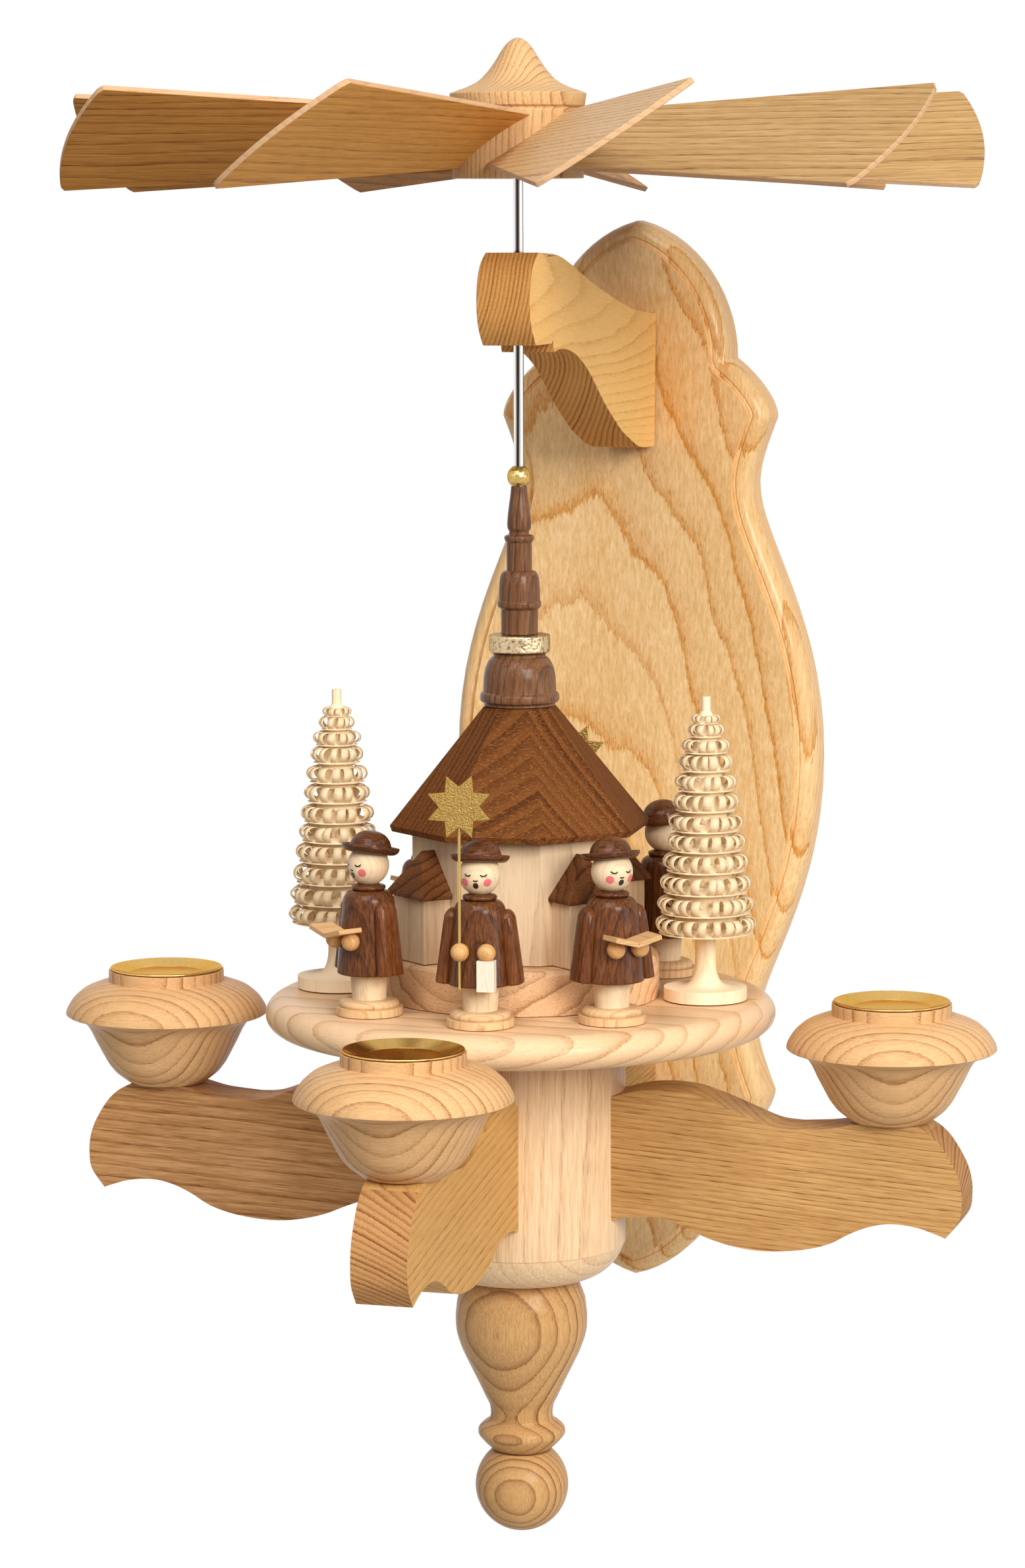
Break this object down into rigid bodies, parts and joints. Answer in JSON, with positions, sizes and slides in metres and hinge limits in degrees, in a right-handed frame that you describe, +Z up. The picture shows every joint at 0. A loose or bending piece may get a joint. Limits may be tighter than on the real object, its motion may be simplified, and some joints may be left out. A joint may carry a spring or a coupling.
{
  "type": "candle carousel",
  "caption": "Wall-hung wooden candle carousel: candle heat turns a bladed rotor that carries a ring of carol singers round a small church.",
  "frame": {"origin": "on the back face of the back board, on its middle line and at its middle height", "axes": "+X to the viewer's right, +Y into the wall, +Z up"},
  "size_m": [0.3854, 0.3822, 0.5985],
  "materials": {
    "arm_wood": "brown ash, oiled",
    "blade_wood": "raw ash",
    "board_wood": "light ash, satin lacquer",
    "brass": "polished",
    "coat_wood": "dark stain, satin lacquer",
    "curl_wood": "raw shavings",
    "gilt": "gold paint",
    "plinth_wood": "reddish brown, raw",
    "roof_wood": "dark walnut, raw",
    "steel": "drawn",
    "turned_wood": "turned ash, satin lacquer",
    "wall_wood": "pale, raw"
  },
  "bodies": {
    "wall_bracket": {"back_board": "board_wood", "bracket_screw_high": "steel", "bracket_screw_low": "steel", "candle_arm_front": "arm_wood", "candle_arm_left": "arm_wood", "candle_arm_right": "arm_wood", "candle_bowl_front": "turned_wood", "candle_bowl_left": "turned_wood", "candle_bowl_right": "turned_wood", "drop_ball": "turned_wood", "drop_finial": "turned_wood", "foot_bearing": "brass", "post": "turned_wood", "rear_bracket": "arm_wood", "shaft_bush": "brass", "tealight_insert_front": "brass", "tealight_insert_left": "brass", "tealight_insert_right": "brass", "upper_arm": "arm_wood", "upper_arm_screw_high": "steel", "upper_arm_screw_low": "steel"},
    "carousel": {"church_plinth": "plinth_wood", "church_roof": "roof_wood", "church_walls": "wall_wood", "gilt_ball": "gilt", "gilt_drum": "gilt", "lantern_dome": "roof_wood", "porch_roof_1": "roof_wood", "porch_roof_2": "roof_wood", "porch_roof_3": "roof_wood", "porch_roof_4": "roof_wood", "ring_tree_left": "curl_wood", "ring_tree_right": "curl_wood", "rotor_blade_1": "blade_wood", "rotor_blade_2": "blade_wood", "rotor_blade_3": "blade_wood", "rotor_blade_4": "blade_wood", "rotor_blade_5": "blade_wood", "rotor_blade_6": "blade_wood", "rotor_blade_7": "blade_wood", "rotor_blade_8": "blade_wood", "rotor_blade_9": "blade_wood", "rotor_hub": "turned_wood", "shaft": "steel", "singer_1": "coat_wood", "singer_1_hat": "coat_wood", "singer_2": "coat_wood", "singer_2_hat": "coat_wood", "singer_2_star": "brass", "singer_3": "coat_wood", "singer_3_hat": "coat_wood", "singer_4": "coat_wood", "singer_4_hat": "coat_wood", "singer_5": "coat_wood", "singer_5_hat": "coat_wood", "singer_5_star": "brass", "singer_6": "coat_wood", "singer_6_hat": "coat_wood", "spire": "roof_wood", "turntable_plate": "turned_wood"}
  },
  "joints": [
    {"name": "carousel_spin", "type": "hinge", "parent": "wall_bracket", "child": "carousel", "pos_m": [0, -0.1895, 0], "axis": [0, 0, 1], "continuous": true}
  ]
}
